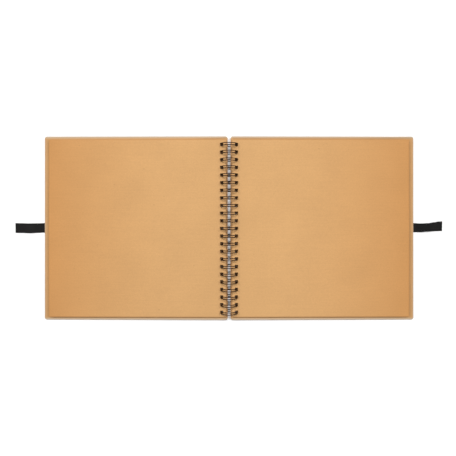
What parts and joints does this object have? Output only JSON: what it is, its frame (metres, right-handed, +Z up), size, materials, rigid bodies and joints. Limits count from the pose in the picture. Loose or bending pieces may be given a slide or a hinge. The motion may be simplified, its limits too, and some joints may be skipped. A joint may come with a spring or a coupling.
{
  "type": "sketchbook",
  "caption": "Square wire-bound sketchbook with hard kraft covers, punched kraft leaves and a ribbon tie on each cover, lying open at its middle.",
  "frame": {"origin": "on the table under the middle of the spine, with the book lying open at its middle leaf", "axes": "+X from the spine towards the back cover's fore-edge, +Y along the spine towards the head of the book, +Z up from the table"},
  "size_m": [0.7228, 0.3094, 0.0286],
  "materials": {
    "wire": "satin",
    "board": "matte",
    "cover_paper": "matte",
    "lining_paper": "matte",
    "leaf_paper": "matte",
    "ribbon": "satin"
  },
  "bodies": {
    "binding": {"binding_wire": "wire"},
    "front_cover": {"front_cover_board": "board", "front_cover_wrap": "cover_paper", "front_cover_lining": "lining_paper", "front_ribbon_anchor": "ribbon"},
    "front_ribbon": {"front_ribbon_end": "ribbon"},
    "back_cover": {"back_cover_board": "board", "back_cover_wrap": "cover_paper", "back_cover_lining": "lining_paper", "back_ribbon_anchor": "ribbon"},
    "back_ribbon": {"back_ribbon_end": "ribbon"},
    "leaf_01": {"leaf_01": "leaf_paper"},
    "leaf_02": {"leaf_02": "leaf_paper"},
    "leaf_03": {"leaf_03": "leaf_paper"},
    "leaf_04": {"leaf_04": "leaf_paper"},
    "leaf_05": {"leaf_05": "leaf_paper"},
    "leaf_06": {"leaf_06": "leaf_paper"},
    "leaf_07": {"leaf_07": "leaf_paper"},
    "leaf_08": {"leaf_08": "leaf_paper"},
    "leaf_09": {"leaf_09": "leaf_paper"},
    "leaf_10": {"leaf_10": "leaf_paper"},
    "leaf_11": {"leaf_11": "leaf_paper"},
    "leaf_12": {"leaf_12": "leaf_paper"},
    "leaf_13": {"leaf_13": "leaf_paper"},
    "leaf_14": {"leaf_14": "leaf_paper"},
    "leaf_15": {"leaf_15": "leaf_paper"},
    "leaf_16": {"leaf_16": "leaf_paper"},
    "leaf_17": {"leaf_17": "leaf_paper"},
    "leaf_18": {"leaf_18": "leaf_paper"},
    "leaf_19": {"leaf_19": "leaf_paper"},
    "leaf_20": {"leaf_20": "leaf_paper"},
    "leaf_21": {"leaf_21": "leaf_paper"},
    "leaf_22": {"leaf_22": "leaf_paper"},
    "leaf_23": {"leaf_23": "leaf_paper"},
    "leaf_24": {"leaf_24": "leaf_paper"},
    "leaf_25": {"leaf_25": "leaf_paper"},
    "leaf_26": {"leaf_26": "leaf_paper"},
    "leaf_27": {"leaf_27": "leaf_paper"},
    "leaf_28": {"leaf_28": "leaf_paper"},
    "leaf_29": {"leaf_29": "leaf_paper"},
    "leaf_30": {"leaf_30": "leaf_paper"}
  },
  "joints": [
    {"name": "front_cover_turn", "type": "hinge", "parent": "binding", "child": "front_cover", "pos_m": [0, 0, 0.0143], "axis": [0, 1, 0], "range_deg": [0, 180]},
    {"name": "front_ribbon_bend", "type": "hinge", "parent": "front_cover", "child": "front_ribbon", "pos_m": [-0.3119, 0, 0.00025], "axis": [0, 1, 0], "range_deg": [-90, 90]},
    {"name": "leaf_01_turn", "type": "hinge", "parent": "front_cover", "child": "leaf_01", "pos_m": [0, 0, 0.0143], "axis": [0, 1, 0], "range_deg": [0, 180]},
    {"name": "leaf_02_turn", "type": "hinge", "parent": "leaf_01", "child": "leaf_02", "pos_m": [0, 0, 0.0143], "axis": [0, 1, 0], "range_deg": [0, 180]},
    {"name": "leaf_03_turn", "type": "hinge", "parent": "leaf_02", "child": "leaf_03", "pos_m": [0, 0, 0.0143], "axis": [0, 1, 0], "range_deg": [0, 180]},
    {"name": "leaf_04_turn", "type": "hinge", "parent": "leaf_03", "child": "leaf_04", "pos_m": [0, 0, 0.0143], "axis": [0, 1, 0], "range_deg": [0, 180]},
    {"name": "leaf_05_turn", "type": "hinge", "parent": "leaf_04", "child": "leaf_05", "pos_m": [0, 0, 0.0143], "axis": [0, 1, 0], "range_deg": [0, 180]},
    {"name": "leaf_06_turn", "type": "hinge", "parent": "leaf_05", "child": "leaf_06", "pos_m": [0, 0, 0.0143], "axis": [0, 1, 0], "range_deg": [0, 180]},
    {"name": "leaf_07_turn", "type": "hinge", "parent": "leaf_06", "child": "leaf_07", "pos_m": [0, 0, 0.0143], "axis": [0, 1, 0], "range_deg": [0, 180]},
    {"name": "leaf_08_turn", "type": "hinge", "parent": "leaf_07", "child": "leaf_08", "pos_m": [0, 0, 0.0143], "axis": [0, 1, 0], "range_deg": [0, 180]},
    {"name": "leaf_09_turn", "type": "hinge", "parent": "leaf_08", "child": "leaf_09", "pos_m": [0, 0, 0.0143], "axis": [0, 1, 0], "range_deg": [0, 180]},
    {"name": "leaf_10_turn", "type": "hinge", "parent": "leaf_09", "child": "leaf_10", "pos_m": [0, 0, 0.0143], "axis": [0, 1, 0], "range_deg": [0, 180]},
    {"name": "leaf_11_turn", "type": "hinge", "parent": "leaf_10", "child": "leaf_11", "pos_m": [0, 0, 0.0143], "axis": [0, 1, 0], "range_deg": [0, 180]},
    {"name": "leaf_12_turn", "type": "hinge", "parent": "leaf_11", "child": "leaf_12", "pos_m": [0, 0, 0.0143], "axis": [0, 1, 0], "range_deg": [0, 180]},
    {"name": "leaf_13_turn", "type": "hinge", "parent": "leaf_12", "child": "leaf_13", "pos_m": [0, 0, 0.0143], "axis": [0, 1, 0], "range_deg": [0, 180]},
    {"name": "leaf_14_turn", "type": "hinge", "parent": "leaf_13", "child": "leaf_14", "pos_m": [0, 0, 0.0143], "axis": [0, 1, 0], "range_deg": [0, 180]},
    {"name": "leaf_15_turn", "type": "hinge", "parent": "leaf_14", "child": "leaf_15", "pos_m": [0, 0, 0.0143], "axis": [0, 1, 0], "range_deg": [0, 180]},
    {"name": "back_cover_turn", "type": "hinge", "parent": "binding", "child": "back_cover", "pos_m": [0, 0, 0.0143], "axis": [0, -1, 0], "range_deg": [0, 180]},
    {"name": "back_ribbon_bend", "type": "hinge", "parent": "back_cover", "child": "back_ribbon", "pos_m": [0.3119, 0, 0.00025], "axis": [0, -1, 0], "range_deg": [-90, 90]},
    {"name": "leaf_30_turn", "type": "hinge", "parent": "back_cover", "child": "leaf_30", "pos_m": [0, 0, 0.0143], "axis": [0, -1, 0], "range_deg": [0, 180]},
    {"name": "leaf_29_turn", "type": "hinge", "parent": "leaf_30", "child": "leaf_29", "pos_m": [0, 0, 0.0143], "axis": [0, -1, 0], "range_deg": [0, 180]},
    {"name": "leaf_28_turn", "type": "hinge", "parent": "leaf_29", "child": "leaf_28", "pos_m": [0, 0, 0.0143], "axis": [0, -1, 0], "range_deg": [0, 180]},
    {"name": "leaf_27_turn", "type": "hinge", "parent": "leaf_28", "child": "leaf_27", "pos_m": [0, 0, 0.0143], "axis": [0, -1, 0], "range_deg": [0, 180]},
    {"name": "leaf_26_turn", "type": "hinge", "parent": "leaf_27", "child": "leaf_26", "pos_m": [0, 0, 0.0143], "axis": [0, -1, 0], "range_deg": [0, 180]},
    {"name": "leaf_25_turn", "type": "hinge", "parent": "leaf_26", "child": "leaf_25", "pos_m": [0, 0, 0.0143], "axis": [0, -1, 0], "range_deg": [0, 180]},
    {"name": "leaf_24_turn", "type": "hinge", "parent": "leaf_25", "child": "leaf_24", "pos_m": [0, 0, 0.0143], "axis": [0, -1, 0], "range_deg": [0, 180]},
    {"name": "leaf_23_turn", "type": "hinge", "parent": "leaf_24", "child": "leaf_23", "pos_m": [0, 0, 0.0143], "axis": [0, -1, 0], "range_deg": [0, 180]},
    {"name": "leaf_22_turn", "type": "hinge", "parent": "leaf_23", "child": "leaf_22", "pos_m": [0, 0, 0.0143], "axis": [0, -1, 0], "range_deg": [0, 180]},
    {"name": "leaf_21_turn", "type": "hinge", "parent": "leaf_22", "child": "leaf_21", "pos_m": [0, 0, 0.0143], "axis": [0, -1, 0], "range_deg": [0, 180]},
    {"name": "leaf_20_turn", "type": "hinge", "parent": "leaf_21", "child": "leaf_20", "pos_m": [0, 0, 0.0143], "axis": [0, -1, 0], "range_deg": [0, 180]},
    {"name": "leaf_19_turn", "type": "hinge", "parent": "leaf_20", "child": "leaf_19", "pos_m": [0, 0, 0.0143], "axis": [0, -1, 0], "range_deg": [0, 180]},
    {"name": "leaf_18_turn", "type": "hinge", "parent": "leaf_19", "child": "leaf_18", "pos_m": [0, 0, 0.0143], "axis": [0, -1, 0], "range_deg": [0, 180]},
    {"name": "leaf_17_turn", "type": "hinge", "parent": "leaf_18", "child": "leaf_17", "pos_m": [0, 0, 0.0143], "axis": [0, -1, 0], "range_deg": [0, 180]},
    {"name": "leaf_16_turn", "type": "hinge", "parent": "leaf_17", "child": "leaf_16", "pos_m": [0, 0, 0.0143], "axis": [0, -1, 0], "range_deg": [0, 180]}
  ]
}
